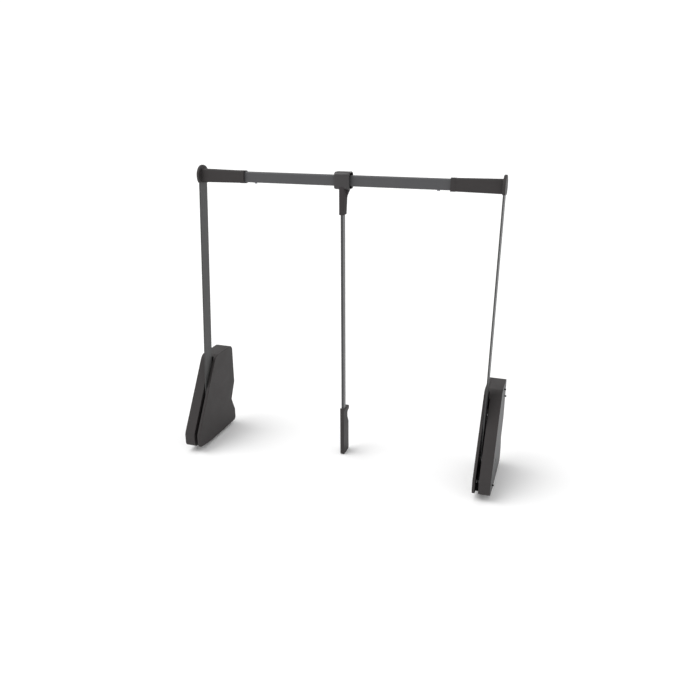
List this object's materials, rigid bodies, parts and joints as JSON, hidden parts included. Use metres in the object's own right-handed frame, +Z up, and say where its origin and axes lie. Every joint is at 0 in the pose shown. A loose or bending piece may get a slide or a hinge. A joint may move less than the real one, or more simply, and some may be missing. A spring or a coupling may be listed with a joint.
{
  "type": "pull down closet rod",
  "caption": "Dark grey pull-down closet rod: spring housings for facing side walls, flat swinging arms, a telescopic oval rail and a hanging pull handle.",
  "frame": {"origin": "centre of the left housing's wall screw pattern, on the left wall's surface", "axes": "+X from the left wall to the right wall, +Y to the back of the closet, +Z up"},
  "size_m": [0.95, 0.244, 0.8585],
  "materials": {
    "steel_plate": "zinc plated sheet",
    "dark_steel": "satin powder coat",
    "bright_steel": "turned, bright",
    "spring_steel": "drawn wire",
    "gear_steel": "cut steel",
    "dark_plastic": "fine spark texture",
    "rail_steel": "satin powder coat",
    "nylon": "natural nylon",
    "bush_plastic": "acetal",
    "stop_rubber": "matt",
    "screw_steel": "zinc plated"
  },
  "bodies": {
    "left_housing": {"left_wall_plate": "steel_plate", "left_wall_pegs": "bright_steel", "left_case": "dark_plastic", "left_side_plate": "steel_plate", "left_standoffs": "bright_steel", "left_pivot_bushes": "bush_plastic", "left_cover": "dark_plastic", "left_cover_spacers": "bright_steel", "left_cover_screws": "screw_steel", "left_stop_rubbers": "stop_rubber", "left_rack_guide": "nylon", "left_spring_seat": "steel_plate", "left_guide_rods": "bright_steel", "left_springs": "spring_steel", "left_damper_body": "bright_steel"},
    "left_rack_group": {"left_rack": "gear_steel", "left_yoke": "steel_plate", "left_damper_rod": "bright_steel"},
    "left_arm_group": {"left_pivot_hub": "bright_steel", "left_pinion": "gear_steel", "left_arm": "dark_steel", "left_hub_rivets": "bright_steel", "left_sleeve": "dark_plastic", "left_end_disc": "dark_plastic", "left_end_screws": "screw_steel", "left_inner_tube": "rail_steel"},
    "right_housing": {"right_wall_plate": "steel_plate", "right_wall_pegs": "bright_steel", "right_case": "dark_plastic", "right_side_plate": "steel_plate", "right_standoffs": "bright_steel", "right_pivot_bushes": "bush_plastic", "right_cover": "dark_plastic", "right_cover_spacers": "bright_steel", "right_cover_screws": "screw_steel", "right_stop_rubbers": "stop_rubber", "right_rack_guide": "nylon", "right_spring_seat": "steel_plate", "right_guide_rods": "bright_steel", "right_springs": "spring_steel", "right_damper_body": "bright_steel"},
    "right_rack_group": {"right_rack": "gear_steel", "right_yoke": "steel_plate", "right_damper_rod": "bright_steel"},
    "right_arm_group": {"right_pivot_hub": "bright_steel", "right_pinion": "gear_steel", "right_arm": "dark_steel", "right_hub_rivets": "bright_steel", "right_sleeve": "dark_plastic", "right_end_disc": "dark_plastic", "right_end_screws": "screw_steel", "right_inner_tube": "rail_steel"},
    "rail": {"rail_tube": "rail_steel", "set_screws": "screw_steel", "collar_bush": "bush_plastic"},
    "pull_handle": {"collar": "dark_plastic", "handle_bar": "dark_steel", "handle_pins": "bright_steel", "grip": "dark_plastic"}
  },
  "joints": [
    {"name": "swing", "type": "hinge", "parent": "left_housing", "child": "left_arm_group", "pos_m": [0.03, -0.079, -0.05], "axis": [1, 0, 0], "range_deg": [0, 115], "stiffness_Nm_per_rad": 14, "springref_deg": -22.92},
    {"name": "left_width", "type": "slide", "parent": "left_arm_group", "child": "rail", "axis": [1, 0, 0], "range_m": [-0.028, 0.05]},
    {"name": "right_width", "type": "slide", "parent": "rail", "child": "right_arm_group", "axis": [1, 0, 0], "range_m": [-0.028, 0.05]},
    {"name": "right_pivot", "type": "hinge", "parent": "right_arm_group", "child": "right_housing", "pos_m": [0.91, -0.079, -0.05], "axis": [1, 0, 0], "range_deg": [-115, 0]},
    {"name": "left_rack_slide", "type": "slide", "parent": "left_housing", "child": "left_rack_group", "axis": [0, 0, 1], "range_m": [0, 0.04466], "deforming": ["left_springs"]},
    {"name": "right_rack_slide", "type": "slide", "parent": "right_housing", "child": "right_rack_group", "axis": [0, 0, 1], "range_m": [0, 0.04466], "deforming": ["right_springs"]},
    {"name": "handle_swing", "type": "hinge", "parent": "rail", "child": "pull_handle", "pos_m": [0.47, -0.01277, 0.69205], "axis": [1, 0, 0], "continuous": true}
  ],
  "couplings": [
    {"joint": "right_pivot", "follows": "swing", "ratio": -1},
    {"joint": "left_rack_slide", "follows": "swing", "m_per_rad": 0.022},
    {"joint": "right_rack_slide", "follows": "swing", "m_per_rad": 0.022}
  ]
}
